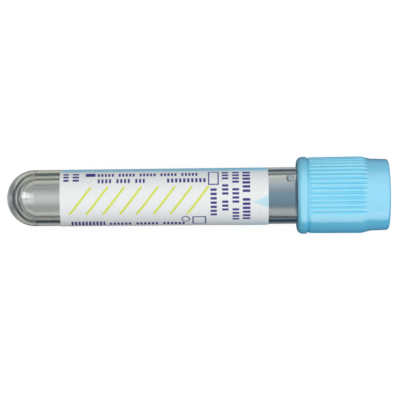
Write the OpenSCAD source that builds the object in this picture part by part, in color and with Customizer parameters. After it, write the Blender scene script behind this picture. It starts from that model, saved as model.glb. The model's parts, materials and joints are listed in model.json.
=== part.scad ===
// Evacuated blood collection tube with citrate solution, lying at rest.
// A thin clear outer tube holds a thicker clear liner.  A rubber stopper in a
// plastic shield closes both.  Every revolved piece is drawn upright along +Z,
// with its height counted from the pole of the round end, and lay_down() then
// lays the whole on its side: closure towards +X, label front facing up.

/* [Outer tube] */
// Length from the pole of the round end to the mouth
tube_len = 75; // [62:0.5:100]
// Outside diameter where the round end begins
tube_d = 12.62; // [10.5:0.02:15.2]
// How much larger the outside diameter is at the mouth
tube_draft = 0.18; // [0:0.02:0.4]
// Side wall where the round end begins
tube_end_wall = 0.78; // [0.6:0.02:1]
// Side wall at the mouth
tube_mouth_wall = 0.41; // [0.34:0.01:0.6]
// Wall at the pole of the round end
tube_floor = 1.35; // [0.8:0.05:2]
// Chamfer inside and outside the mouth
rim_chamfer = 0.1; // [0.05:0.01:0.14]

/* [Inner tube] */
// Radial gap between the two tubes
nest_gap = 0.38; // [0.2:0.02:0.6]
// Gap between the two tubes at the pole
nest_floor_gap = 0.68; // [0.3:0.02:1]
// Side wall of the inner tube where its round end begins
liner_end_wall = 1.26; // [0.9:0.02:1.5]
// Side wall of the inner tube at the top of its straight run
liner_mouth_wall = 0.87; // [0.6:0.01:1.2]
// Wall at the pole of the inner tube
liner_floor = 0.97; // [0.6:0.01:1.6]
// How far the inner tube's mouth sits below the outer one's
liner_drop = 2.8; // [1.5:0.1:3]
// Height of the flared collar that centres the inner tube
flare_h = 3.2; // [2.5:0.1:6]
// Height of the cone that leads into the flared collar
flare_lead = 1.5; // [1:0.1:3]
// Wall of the flared collar
flare_wall = 0.55; // [0.4:0.05:0.8]
// Clearance between the flared collar and the outer tube
flare_fit = 0.02; // [0.01:0.01:0.08]

/* [Label] */
// Distance from the pole of the round end to the label
label_from = 12.2; // [8:0.1:20]
// Bare tube left between the label and the shield
label_clear = 6.45; // [2:0.05:12]
// Thickness of the label
label_t = 0.09; // [0.05:0.01:0.2]
// Angle from straight up to the label's striped edge
label_back = 80; // [60:1:150]
// Angle from straight up to the label's other long edge
label_front = 98; // [60:1:150]
// Radius of the label's corners
label_corner = 1.5; // [0.5:0.1:4]
// Glue line between the label and the tube
label_seat = 0.01; // [0.01:0.01:0.05]

/* [Citrate solution] */
// Volume of solution in the pool, in millilitres
additive_ml = 0.3; // [0.1:0.05:0.6]
// Clearance between the solution and the inner tube
wetting_gap = 0.02; // [0.01:0.01:0.05]
// Diameter of the droplet that clings to the wall
drop_d = 1.7; // [1:0.1:3]
// Distance from the shield's edge to the droplet
drop_clear = 1.55; // [1:0.05:20]
// Angle from straight up to the droplet, towards the striped edge
drop_turn = 52; // [0:1:80]

/* [Stopper] */
// How deep the plug reaches below the tube's mouth
plug_depth = 5.8; // [4.6:0.1:5.9]
// Running clearance of the plug in both tubes
plug_fit = 0.03; // [0.02:0.01:0.08]
// Width of the chamfer on the plug's tip
plug_chamfer = 0.6; // [0.3:0.1:1]
// Radius of the recess in the plug's tip
recess_r = 3; // [2.2:0.1:3.5]
// Radius of the recess at its flat top
recess_top_r = 1.8; // [1:0.1:2.1]
// Depth of the recess in the plug's tip
recess_h = 2.2; // [1:0.1:4]
// Thickness of the flange that seats on the tube's rim
flange_t = 1.8; // [1:0.1:2.2]
// Clearance round the flange inside the skirt
flange_fit = 0.3; // [0.1:0.05:0.5]
// Clearance between the neck and the ledge's hole
neck_fit = 0.03; // [0.02:0.01:0.1]
// Radius of the needle target dished into the head
target_r = 2.9; // [2:0.1:4]
// Depth of the needle target
target_h = 1.2; // [0.5:0.1:2]

/* [Shield skirt] */
// How far the skirt hangs below the tube's mouth
skirt_drop = 9.65; // [8:0.05:12]
// Gap between the skirt and the tube at its mouth
skirt_gap = 0.65; // [0.55:0.05:1]
// Chamfer inside the skirt's edge
skirt_chamfer = 0.3; // [0.1:0.05:0.5]
// Wall of the skirt at the bead
bead_wall = 1.64; // [1.4:0.02:2.4]
// Height of the bead
bead_h = 2.4; // [2:0.1:4]
// Radius that rounds the bead's lower corner
bead_round = 1.3; // [0.8:0.05:1.3]
// Height of the groove between the bead and the grip
neck_h = 0.45; // [0.3:0.05:1]
// Depth of that groove below the bead
neck_depth = 0.3; // [0.15:0.05:0.5]

/* [Shield grip and collar] */
// How far the grip lies inside the bead at the groove
grip_low_in = 0.11; // [0.05:0.01:0.2]
// How far the grip lies inside the bead at the shoulder
grip_top_in = 0.01; // [0:0.01:0.05]
// Height of the grip, from the groove to the shoulder
grip_h = 11.2; // [9.4:0.1:14]
// Height of the shoulder between the grip and the collar
shoulder_h = 3; // [1.5:0.1:4]
// How far the shoulder steps in
shoulder_in = 0.56; // [0.2:0.02:0.7]
// Height of the collar
collar_h = 3.7; // [3.1:0.1:6]
// How far the collar's end lies inside its start
collar_draft = 0.1; // [0:0.02:0.3]
// Radius that rounds the collar's end
collar_round = 0.7; // [0.3:0.1:1]

/* [Shield bore] */
// Radius of the needle opening in the collar
port_r = 5.3; // [4.4:0.1:5.3]
// Length of the opening's straight wall
port_wall_h = 2.5; // [1.5:0.1:3.5]
// Width of the chamfer round the opening
port_chamfer = 0.4; // [0.2:0.1:0.6]
// How far the opening's wall overhangs the stopper's head
port_lip = 0.7; // [0.3:0.1:0.8]
// Thickness of the ledge that the stopper's neck carries
ledge_t = 1.46; // [1:0.02:2]
// Radius of the hole in the ledge
ledge_r = 4.75; // [4:0.05:4.8]
// Clearance between the stopper and the shield along the axis
grasp_fit = 0.02; // [0.01:0.01:0.05]
// Side clearance of the stopper's head in the shield
head_fit = 0.1; // [0.05:0.05:0.3]

/* [Grip ribs] */
// Rib places round the whole skirt
rib_places = 46; // [36:2:60]
// Grooves in each of the two ribbed sectors
flutes_per_side = 17; // [5:1:17]
// Width of a groove
flute_w = 0.6; // [0.3:0.05:0.7]
// Angle from straight up to the groove beside the smooth panel
flute_first = 28; // [0:1:90]

/* [Hidden] */
$fn = 96;
eps = 0.01;

// Radius of the sphere that closes a cone of radius r0 + slope * z, with its pole at height pole
function cap_r(r0, slope, pole) = (r0 + slope * pole) / (1 - slope);

// Outer tube: outside cone and bore cone, each as its radius at height 0 and its slope
end_r = tube_d / 2;
mouth_r = end_r + tube_draft / 2;
run_h = tube_len - end_r;
out_slope = (mouth_r - end_r) / run_h;
out_r0 = end_r - out_slope * end_r;
bore_slope = out_slope + (tube_end_wall - tube_mouth_wall) / run_h;
bore_r0 = end_r - tube_end_wall - bore_slope * end_r;
bore_cap_r = cap_r(bore_r0, bore_slope, tube_floor);
function out_r(z) = out_r0 + out_slope * z;
function bore_r(z) = bore_r0 + bore_slope * z;

// Inner tube: its outside follows the outer tube's bore at nest_gap
liner_pole = tube_floor + nest_floor_gap;
liner_cap_r = cap_r(bore_r0 - nest_gap, bore_slope, liner_pole);
liner_seam = liner_pole + liner_cap_r;
liner_top = tube_len - liner_drop;
flare_z = liner_top - flare_h;
straight_top = flare_z - flare_lead;
cavity_slope = bore_slope + (liner_end_wall - liner_mouth_wall) / (straight_top - liner_seam);
cavity_r0 = liner_cap_r - liner_end_wall - cavity_slope * liner_seam;
cavity_pole = liner_pole + liner_floor;
cavity_cap_r = cap_r(cavity_r0, cavity_slope, cavity_pole);
function liner_r(z) = bore_r(z) - nest_gap;
function cavity_r(z) = cavity_r0 + cavity_slope * z;
flare_out_r = bore_r(flare_z) - flare_fit;
flare_in_r = flare_out_r - flare_wall;

// Shield: heights from the skirt's edge to the collar's end, then radii
skirt_z = tube_len - skirt_drop;
bead_top = skirt_z + bead_h;
grip_z = bead_top + neck_h;
shoulder_z = grip_z + grip_h;
collar_z = shoulder_z + shoulder_h;
shield_top = collar_z + collar_h;
port_z = shield_top - port_chamfer;
roof_z = port_z - port_wall_h;
skirt_in_r = mouth_r + skirt_gap;
bead_r = skirt_in_r + bead_wall;
neck_out_r = bead_r - neck_depth;
grip_low_r = bead_r - grip_low_in;
grip_top_r = bead_r - grip_top_in;
collar_low_r = grip_top_r - shoulder_in;
collar_top_r = collar_low_r - collar_draft;
head_room_r = port_r + port_lip;

// Stopper, held by the shield's ledge between its flange and its head
flange_top = tube_len + flange_t;
ledge_z = flange_top + grasp_fit;
ledge_top = ledge_z + ledge_t;
head_z = ledge_top + grasp_fit;
head_top = roof_z - grasp_fit;
head_r = head_room_r - head_fit;
flange_r = skirt_in_r - flange_fit;
neck_r = ledge_r - neck_fit;
plug_tip = tube_len - plug_depth;
plug_low_r = flare_in_r - plug_fit;
plug_high_r = bore_r(liner_top) - plug_fit;

// Label and droplet, placed from the shield's edge
label_to = skirt_z - label_clear;
drop_at = skirt_z - drop_clear;

// Resting tilt: the round end's sphere and the bead's rounding touch one floor
bead_arc_z = skirt_z + bead_round - end_r;
bead_arc_r = bead_r - bead_round;
tilt = atan2(bead_arc_r, bead_arc_z)
    + asin((bead_round - end_r) / norm([bead_arc_z, bead_arc_r]));
// Height of the axis at the pole, and the middle of the whole along X
axis_lift = end_r * (1 - sin(tilt));
reach_low = end_r * (cos(tilt) - 1);
reach_high = (shield_top - collar_round) * cos(tilt)
    + (collar_top_r - collar_round) * sin(tilt) + collar_round;
mid_x = (reach_low + reach_high) / 2;

// Level of the pool, found by halving until the pool holds additive_ml
pool_slices = 120;
pool_run = plug_tip - cavity_pole;
pool_step = pool_run / pool_slices;
cavity_seam = cavity_pole + cavity_cap_r;
function wall_r(z) = z < cavity_seam
    ? sqrt(max(0, cavity_cap_r ^ 2 - (cavity_seam - z) ^ 2))
    : cavity_r(z);
// Area of the part of a circle of radius r that lies more than h below its centre
function segment(r, h) = h >= r ? 0
    : h <= -r ? PI * r ^ 2
    : r ^ 2 * acos(h / r) * PI / 180 - h * sqrt(r ^ 2 - h ^ 2);
function slice(z, level) =
    segment(max(wall_r(z) - wetting_gap, eps), axis_lift + z * sin(tilt) - level);
function pool_volume(level, z = 0) = z > pool_run ? 0
    : pool_step * slice(cavity_pole + z, level) + pool_volume(level, z + pool_step);
function find_level(low, high, steps) = steps == 0 ? (low + high) / 2
    : pool_volume((low + high) / 2) > additive_ml * 1000
        ? find_level(low, (low + high) / 2, steps - 1)
        : find_level((low + high) / 2, high, steps - 1);
pool_level = find_level(0, axis_lift + plug_tip * sin(tilt), 16);

// Lays an upright piece down: +Z to the closure's side, +X up, with the resting tilt
module lay_down() {
    translate([-mid_x, 0, axis_lift])
    rotate([0, 90 - tilt, 0])
    rotate([0, 0, 180])
    children();
}

// A round-ended bar: a sphere of radius r on the pole, then a cone up to the top
module bullet(pole, r, top, top_r) {
    translate([0, 0, pole + r]) {
        sphere(r = r);
        cylinder(h = top - pole - r, r1 = r, r2 = top_r);
    }
}

module outer_tube() {
    rim_z = tube_len - rim_chamfer;
    color([0.78, 0.8, 0.8, 0.35])
    lay_down()
    difference() {
        union() {
            bullet(0, end_r, rim_z, out_r(rim_z));
            translate([0, 0, rim_z])
                cylinder(h = rim_chamfer, r1 = out_r(rim_z), r2 = mouth_r - rim_chamfer);
        }
        bullet(tube_floor, bore_cap_r, rim_z, bore_r(rim_z));
        translate([0, 0, rim_z - eps]) cylinder(h = rim_chamfer, r = bore_r(rim_z - eps));
        translate([0, 0, rim_z])
            cylinder(h = 2 * rim_chamfer, r1 = bore_r(rim_z), r2 = bore_r(rim_z) + 2 * rim_chamfer);
    }
}

module inner_tube() {
    color([0.85, 0.88, 0.9, 0.5])
    lay_down()
    difference() {
        union() {
            bullet(liner_pole, liner_cap_r, flare_z, liner_r(flare_z));
            translate([0, 0, straight_top])
                cylinder(h = flare_lead, r1 = liner_r(straight_top), r2 = flare_out_r);
            translate([0, 0, flare_z]) cylinder(h = flare_h, r = flare_out_r);
        }
        bullet(cavity_pole, cavity_cap_r, flare_z, cavity_r(flare_z));
        translate([0, 0, straight_top])
            cylinder(h = flare_lead, r1 = cavity_r(straight_top), r2 = flare_in_r);
        translate([0, 0, flare_z - eps]) cylinder(h = flare_h + 2 * eps, r = flare_in_r);
    }
}

// What a rounded corner takes off the label: a radial block less a radial post.  The block
// starts a little past the post's middle, so the cut has no end that thins to nothing.
module corner_cut(z, angle, z_side, angle_side) {
    block = 2 * label_corner;
    lead = label_corner / 6;
    depth = 2;
    in_turn = label_corner / (out_r(z) + label_t) * 180 / PI;
    rotate([0, 0, angle - angle_side * in_turn])
    translate([out_r(z) - depth / 2, 0, z - z_side * label_corner])
    rotate([0, 90, 0])
    difference() {
        translate([z_side < 0 ? lead : -block - lead, angle_side < 0 ? -block - lead : lead, 0])
            cube([block, block, depth]);
        translate([0, 0, -eps]) cylinder(h = depth + 2 * eps, r = label_corner);
    }
}

module label() {
    r_low = out_r(label_from) + label_seat;
    r_high = out_r(label_to) + label_seat;
    color("white")
    lay_down()
    difference() {
        rotate([0, 0, -label_back])
        rotate_extrude(angle = label_back + label_front)
        polygon([
            [r_low, label_from],
            [r_low + label_t, label_from],
            [r_high + label_t, label_to],
            [r_high, label_to]
        ]);
        for (z_side = [-1, 1], angle_side = [-1, 1])
            corner_cut(z_side < 0 ? label_from : label_to,
                angle_side < 0 ? -label_back : label_front, z_side, angle_side);
    }
}

// All that the solution can fill, up to the plug
module wet_space() {
    bullet(cavity_pole + wetting_gap, cavity_cap_r - wetting_gap,
        plug_tip - wetting_gap, cavity_r(plug_tip) - wetting_gap);
}

module citrate_solution() {
    color([0.75, 0.87, 0.95, 0.6]) {
        // The pool, level with the floor
        intersection() {
            lay_down() wet_space();
            translate([-mid_x, -tube_d, 0]) cube([tube_len, 2 * tube_d, pool_level]);
        }
        // The droplet, a lens on the wall
        lay_down()
        intersection() {
            wet_space();
            rotate([0, 0, -drop_turn])
                translate([cavity_r(drop_at) - wetting_gap, 0, drop_at]) sphere(d = drop_d);
        }
    }
}

module stopper() {
    color([0.5, 0.66, 0.74])
    lay_down()
    rotate_extrude()
    polygon([
        [0, plug_tip + recess_h],
        [recess_top_r, plug_tip + recess_h],
        [recess_r, plug_tip],
        [plug_low_r - plug_chamfer, plug_tip],
        [plug_low_r, plug_tip + plug_chamfer],
        [plug_low_r, liner_top],
        [plug_high_r, liner_top + plug_fit],
        [plug_high_r, tube_len],
        [flange_r, tube_len],
        [flange_r, flange_top],
        [neck_r, flange_top],
        [neck_r, head_z],
        [head_r, head_z],
        [head_r, head_top],
        for (a = [0 : 15 : 90])
            [target_r * cos(a), head_top - target_h * sin(a)]
    ]);
}

// Half section of the shield, from the skirt's edge up the outside and down the bore
module shield_section() {
    polygon([
        [skirt_in_r + skirt_chamfer, skirt_z],
        for (a = [0 : 10 : 90])
            [bead_arc_r + bead_round * sin(a), skirt_z + bead_round * (1 - cos(a))],
        [bead_r, bead_top - neck_depth],
        [neck_out_r, bead_top],
        [neck_out_r, grip_z],
        [grip_low_r, grip_z],
        for (t = [0 : 0.1 : 1])
            [grip_top_r - shoulder_in * (1 - cos(180 * t)) / 2, shoulder_z + shoulder_h * t],
        for (a = [0 : 15 : 90])
            [collar_top_r - collar_round * (1 - cos(a)), shield_top - collar_round * (1 - sin(a))],
        [port_r + port_chamfer, shield_top],
        [port_r, port_z],
        [port_r, roof_z],
        [head_room_r, roof_z],
        [head_room_r, ledge_top],
        [ledge_r, ledge_top],
        [ledge_r, ledge_z],
        [skirt_in_r, ledge_z],
        [skirt_in_r, skirt_z + skirt_chamfer]
    ]);
}

// One groove of the grip, open at the bead and running out on the shoulder
module flute() {
    translate([grip_low_r, 0, grip_z - neck_h / 2])
        cylinder(h = neck_h / 2 + grip_h + shoulder_h, d = flute_w, $fn = 24);
}

module shield() {
    color([0.56, 0.83, 0.95])
    lay_down()
    difference() {
        rotate_extrude() shield_section();
        for (side = [0, 180], i = [0 : flutes_per_side - 1])
            rotate([0, 0, side + flute_first - i * 360 / rib_places]) flute();
    }
}

outer_tube();
inner_tube();
label();
citrate_solution();
stopper();
shield();
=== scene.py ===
"""Looks for a blood collection tube lying at rest on its round end and its shield's bead.

Every piece is modelled upright and then laid down: +Z runs along the tube from its round end
to the closure, and +X points straight up once it lies. Sizes are in millimetres, and angles
round the tube are in degrees from straight up, positive towards the shaded side.
"""

import json
import logging
import math
from collections.abc import Callable, Iterable, Mapping, Sequence
from dataclasses import dataclass
from enum import Enum
from functools import reduce
from typing import ClassVar

import bmesh
import bpy
from mathutils import Matrix, Vector


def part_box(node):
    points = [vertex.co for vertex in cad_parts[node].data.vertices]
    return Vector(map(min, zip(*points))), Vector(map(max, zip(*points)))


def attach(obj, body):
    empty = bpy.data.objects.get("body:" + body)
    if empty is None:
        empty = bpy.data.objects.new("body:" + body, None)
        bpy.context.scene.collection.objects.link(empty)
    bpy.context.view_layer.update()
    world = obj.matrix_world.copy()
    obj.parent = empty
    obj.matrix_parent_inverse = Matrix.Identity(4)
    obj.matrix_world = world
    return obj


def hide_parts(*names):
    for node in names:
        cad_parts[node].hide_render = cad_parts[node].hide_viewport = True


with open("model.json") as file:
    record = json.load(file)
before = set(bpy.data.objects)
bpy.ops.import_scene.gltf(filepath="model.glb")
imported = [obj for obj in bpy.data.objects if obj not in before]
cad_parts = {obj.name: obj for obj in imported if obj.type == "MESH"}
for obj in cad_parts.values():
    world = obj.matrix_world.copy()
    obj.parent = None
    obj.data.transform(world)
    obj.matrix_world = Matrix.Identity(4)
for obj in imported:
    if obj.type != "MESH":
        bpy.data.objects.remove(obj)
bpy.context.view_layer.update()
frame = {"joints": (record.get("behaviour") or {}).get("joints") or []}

MM = 0.001
log = logging.getLogger("blood_tube")

Piece = bpy.types.Object
Material = bpy.types.Material
Point = tuple[float, float]
Point3 = tuple[float, float, float]
Colour = tuple[float, float, float]


# ---- How the tube lies ----


@dataclass(frozen=True)
class Lay:
    """The tube's place: the pole of its round end, its axis, and the direction that is up."""

    pole: Vector
    axis: Vector
    up: Vector

    @classmethod
    def from_frame(cls) -> "Lay":
        """Reads the axis from the closure's joint and the pole from the outer tube's box.

        Returns:
            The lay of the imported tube.
        """
        axis = Vector(frame["joints"][0]["axis"]).normalized()
        low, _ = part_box("outer_tube")
        radius = OuterTube.end_r * MM
        centre = Vector((low.x + radius, 0.0, radius))
        up = Vector((-axis.z, 0.0, axis.x))
        return cls(centre - axis * radius, axis, up)

    def matrix(self) -> Matrix:
        """The move from upright to lying.

        Returns:
            The move.
        """
        side = self.axis.cross(self.up)
        turn = Matrix((self.up, side, self.axis)).transposed().to_4x4()
        return Matrix.Translation(self.pole) @ turn


# ---- Modelling with Blender's operators ----


@dataclass(frozen=True)
class Corner:
    """A corner of a turned outline, and the length along its sides that is rounded off."""

    r: float
    z: float
    soft: float = 0.0


def arc(centre: Point, radius: float, start: float, stop: float, steps: int) -> list[Corner]:
    """Points on an arc of an outline.

    Args:
        centre: Radius and height of the arc's centre.
        radius: The arc's radius.
        start: First angle in degrees, from the radial direction towards +Z.
        stop: Last angle.
        steps: Number of segments.

    Returns:
        The points, as corners with no rounding.
    """
    angles = [math.radians(start + (stop - start) * i / steps) for i in range(steps + 1)]
    r, z = centre
    return [Corner(r + radius * math.cos(a), z + radius * math.sin(a)) for a in angles]


def soften(corners: Sequence[Corner], closed: bool = False, steps: int = 4) -> list[Point]:
    """Rounds an outline's soft corners.

    Args:
        corners: The outline in order.
        closed: Whether the last corner joins the first.
        steps: Segments in each rounded corner.

    Returns:
        Radius and height of each point, with no point twice.
    """
    out: list[Point] = []
    count = len(corners)
    for i, c in enumerate(corners):
        here = Vector((c.r, c.z))
        if c.soft <= 0 or (not closed and i in (0, count - 1)):
            out.append((c.r, c.z))
            continue
        before = Vector((corners[i - 1].r, corners[i - 1].z))
        after = Vector((corners[(i + 1) % count].r, corners[(i + 1) % count].z))
        a = here + (before - here).normalized() * min(c.soft, (before - here).length * 0.48)
        b = here + (after - here).normalized() * min(c.soft, (after - here).length * 0.48)
        for k in range(steps + 1):
            t = k / steps
            p = a * (1 - t) ** 2 + here * 2 * t * (1 - t) + b * t**2
            out.append((p.x, p.y))
    return [p for k, p in enumerate(out) if k == 0 or math.dist(p, out[k - 1]) > 1e-4]


def angle(place: Vector) -> float:
    """Angle round the axis in degrees, from straight up."""
    return math.degrees(math.atan2(place.y, place.x))


def rows(r0: float, z0: float, r1: float, z1: float, count: int) -> list[Corner]:
    """Corners that divide a straight side into count parts, both ends included."""
    shares = [i / count for i in range(count + 1)]
    return [Corner(r0 + (r1 - r0) * t, z0 + (z1 - z0) * t) for t in shares]


class Bench:
    """Modelling steps, each done with Blender's own operators on the piece in hand."""

    @staticmethod
    def clear() -> None:
        """Leaves edit mode and deselects all."""
        if bpy.context.object and bpy.context.object.mode != "OBJECT":
            bpy.ops.object.mode_set(mode="OBJECT")
        bpy.ops.object.select_all(action="DESELECT")

    @staticmethod
    def hold(piece: Piece) -> None:
        """Makes one piece the selected, active one.

        Args:
            piece: The piece.
        """
        Bench.clear()
        piece.select_set(True)
        bpy.context.view_layer.objects.active = piece

    @staticmethod
    def name(piece: Piece, name: str) -> None:
        """Names a piece and its mesh."""
        piece.name = piece.data.name = name

    @staticmethod
    def select(piece: Piece, test: Callable[[Vector], bool]) -> int:
        """Selects the vertices of the piece in edit mode whose place passes a test.

        Args:
            piece: The piece in edit mode.
            test: Takes a place in millimetres.

        Returns:
            How many were selected.
        """
        mesh = bmesh.from_edit_mesh(piece.data)
        mesh.select_mode = {"VERT"}
        count = 0
        for v in mesh.verts:
            chosen = test(v.co / MM)
            v.select_set(chosen)
            count += chosen
        mesh.select_flush_mode()
        bmesh.update_edit_mesh(piece.data)
        return count

    @staticmethod
    def thread(name: str, outline: Sequence[Point], at_deg: float, closed: bool) -> Piece:
        """Draws an outline as a chain of edges, by merging a plane to a point and extruding it.

        Args:
            name: The piece's name.
            outline: Radius and height of each point.
            at_deg: Angle round the axis of the plane that the outline is drawn in.
            closed: Whether the chain returns to its start.

        Returns:
            The new piece, in edit mode with the chain selected.
        """
        ca, sa = math.cos(math.radians(at_deg)), math.sin(math.radians(at_deg))
        path = [Vector((r * ca, r * sa, z)) * MM for r, z in outline]
        if closed:
            path.append(path[0])
        Bench.clear()
        bpy.ops.mesh.primitive_plane_add(size=MM, location=path[0])
        piece = bpy.context.object
        bpy.ops.object.transform_apply()
        Bench.name(piece, name)
        bpy.ops.object.mode_set(mode="EDIT")
        bpy.ops.mesh.select_mode(type="VERT")
        bpy.ops.mesh.select_all(action="SELECT")
        bpy.ops.mesh.merge(type="CENTER")
        for here, there in zip(path, path[1:]):
            bpy.ops.mesh.extrude_vertices_move(TRANSFORM_OT_translate={"value": there - here})
        bpy.ops.mesh.select_all(action="SELECT")
        if closed:
            bpy.ops.mesh.remove_doubles(threshold=1e-7)
        return piece

    @staticmethod
    def turn(
        name: str,
        outline: Sequence[Point],
        steps: int,
        closed: bool = False,
        start: float = 0.0,
        sweep: float = 360.0,
    ) -> Piece:
        """Turns an outline about the axis.

        Args:
            name: The piece's name.
            outline: Radius and height of each point.
            steps: Columns round the sweep.
            closed: Whether the outline is a closed ring; if not, it begins and ends on the axis
                or makes a sheet.
            start: Angle of the first column in degrees.
            sweep: Angle covered, in degrees.

        Returns:
            The new piece, in edit mode with all selected.
        """
        piece = Bench.thread(name, outline, start, closed)
        Bench.spin(sweep, steps)
        Bench.close()
        return piece

    @staticmethod
    def spin(sweep: float, steps: int, copies: bool = False) -> None:
        """Spins what is selected about the axis.

        Args:
            sweep: The angle in degrees, positive from +X to +Y. The operator counts it the
                other way.
            steps: Columns or copies over the sweep.
            copies: Whether to leave whole copies in place of a swept surface.
        """
        bpy.ops.mesh.spin(
            steps=steps,
            dupli=copies,
            angle=-math.radians(sweep),
            use_auto_merge=False,
            center=(0, 0, 0),
            axis=(0, 0, 1),
        )

    @staticmethod
    def close() -> None:
        """Merges the seams and poles of the piece in edit mode and turns its faces outwards."""
        bpy.ops.mesh.select_all(action="SELECT")
        bpy.ops.mesh.remove_doubles(threshold=2e-6)
        bpy.ops.mesh.normals_make_consistent(inside=False)

    @staticmethod
    def swell(factor: float) -> None:
        """Moves the selected vertices out from the axis, or in, by a factor.

        Args:
            factor: How many times as far from the axis they end.
        """
        bpy.ops.transform.resize(
            value=(factor, factor, 1.0), orient_type="GLOBAL", center_override=(0.0, 0.0, 0.0)
        )

    @staticmethod
    def apply_modifier(piece: Piece, kind: str, **settings: object) -> None:
        """Adds a modifier to a piece and applies it.

        Args:
            piece: The piece to change.
            kind: Blender's name for the modifier.
            settings: The modifier's properties.
        """
        Bench.hold(piece)
        modifier = piece.modifiers.new(kind.title(), kind)
        for key, value in settings.items():
            setattr(modifier, key, value)
        bpy.ops.object.modifier_apply(modifier=modifier.name)

    @staticmethod
    def mark(piece: Piece, name: str, value: Callable[[Vector], float]) -> None:
        """Writes a number on each vertex of an upright piece, for its finish to read.

        Args:
            piece: The piece.
            name: The attribute's name.
            value: Gives the number for a place in millimetres.
        """
        Bench.clear()
        layer = piece.data.attributes.new(name, "FLOAT", "POINT")
        for vertex in piece.data.vertices:
            layer.data[vertex.index].value = value(vertex.co / MM)


# ---- Finishes ----

Socket = bpy.types.NodeSocket
Value = float | Socket
Box = tuple[float, float, float, float]
MIDDLE: Point = (0.3, 0.7)  # where most of a noise's values lie


class Nodes:
    """A node tree under construction, with the steps that the finishes and the sky share."""

    def __init__(self, owner: Material | bpy.types.World) -> None:
        """Empties the owner's node tree and takes it in hand.

        Args:
            owner: The material or world that is being made.
        """
        owner.use_nodes = True
        self.nodes = owner.node_tree.nodes
        self.links = owner.node_tree.links
        self.nodes.clear()

    def add(
        self,
        kind: str,
        inputs: Mapping[int | str, object] | None = None,
        out: int | str = 0,
        **settings: object,
    ) -> Socket:
        """Adds a node.

        Args:
            kind: Blender's name for it, less ShaderNode.
            inputs: What feeds its sockets, by number or name.
            out: The output that is wanted.
            settings: The node's own settings.

        Returns:
            That output.
        """
        node = self.nodes.new("ShaderNode" + kind)
        for key, value in settings.items():
            setattr(node, key, value)
        for socket, value in (inputs or {}).items():
            self.put(node.inputs[socket], value)
        return node.outputs[out]

    def put(self, socket: Socket, value: object) -> None:
        """Feeds a socket.

        Args:
            socket: The socket to feed.
            value: Another socket to link to it, or a plain value.
        """
        if isinstance(value, bpy.types.NodeSocket):
            self.links.new(value, socket)
        elif isinstance(value, tuple) and len(value) == 3 and socket.type == "RGBA":
            socket.default_value = (*value, 1.0)
        else:
            socket.default_value = value

    def rays(self) -> Sequence[Socket]:
        """The tests for the kind of ray that sees this, by name."""
        return self.add("LightPath").node.outputs

    def split(self, vector: Socket) -> list[Socket]:
        """The three parts of a vector."""
        return list(self.add("SeparateXYZ", {0: vector}).node.outputs)

    def math(
        self, operation: str, a: Value, b: Value = 0.0, c: Value = 0.0, clamp: bool = False
    ) -> Socket:
        """One step of arithmetic by Blender's name for it, and whether to keep it in 0 to 1."""
        return self.add("Math", {0: a, 1: b, 2: c}, operation=operation, use_clamp=clamp)

    def times(self, a: Value, b: Value, clamp: bool = False) -> Socket:
        """The product of two numbers."""
        return self.math("MULTIPLY", a, b, clamp=clamp)

    def minus(self, a: Value, b: Value) -> Socket:
        """The first number less the second."""
        return self.math("SUBTRACT", a, b)

    def most(self, *values: Value) -> Socket:
        """The largest of several numbers."""
        return reduce(lambda a, b: self.math("MAXIMUM", a, b), values)

    def least(self, *values: Value) -> Socket:
        """The smallest of several numbers."""
        return reduce(lambda a, b: self.math("MINIMUM", a, b), values)

    def away(self, x: Value, y: Value) -> Socket:
        """How far a place is from the origin."""
        return self.math("SQRT", self.math("ADD", self.times(x, x), self.times(y, y)))

    def inside(self, depth: Value, soft: float) -> Socket:
        """1 where a depth is above zero and 0 where it is below, with an edge of a soft width."""
        return self.math("MULTIPLY_ADD", depth, 1 / soft, 0.5, clamp=True)

    def ramp(
        self,
        value: Value,
        low: Value,
        high: Value,
        to_low: Value = 0.0,
        to_high: Value = 1.0,
        smooth: bool = True,
    ) -> Socket:
        """A step from one number to another.

        Args:
            value: What the step follows.
            low: Where the step starts.
            high: Where it ends.
            to_low: The result up to its start.
            to_high: The result past its end.
            smooth: Whether it eases in and out.

        Returns:
            The result.
        """
        names = ("Value", "From Min", "From Max", "To Min", "To Max")
        inputs = dict(zip(names, (value, low, high, to_low, to_high)))
        kind = "SMOOTHSTEP" if smooth else "LINEAR"
        return self.add("MapRange", inputs, "Result", interpolation_type=kind)

    def mix(self, factor: Value, a: Colour | Socket, b: Colour | Socket) -> Socket:
        """A blend of two colours: the first where the factor is 0, and the second where it is 1."""
        return self.add("Mix", {0: factor, 6: a, 7: b}, 2, data_type="RGBA")


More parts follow.
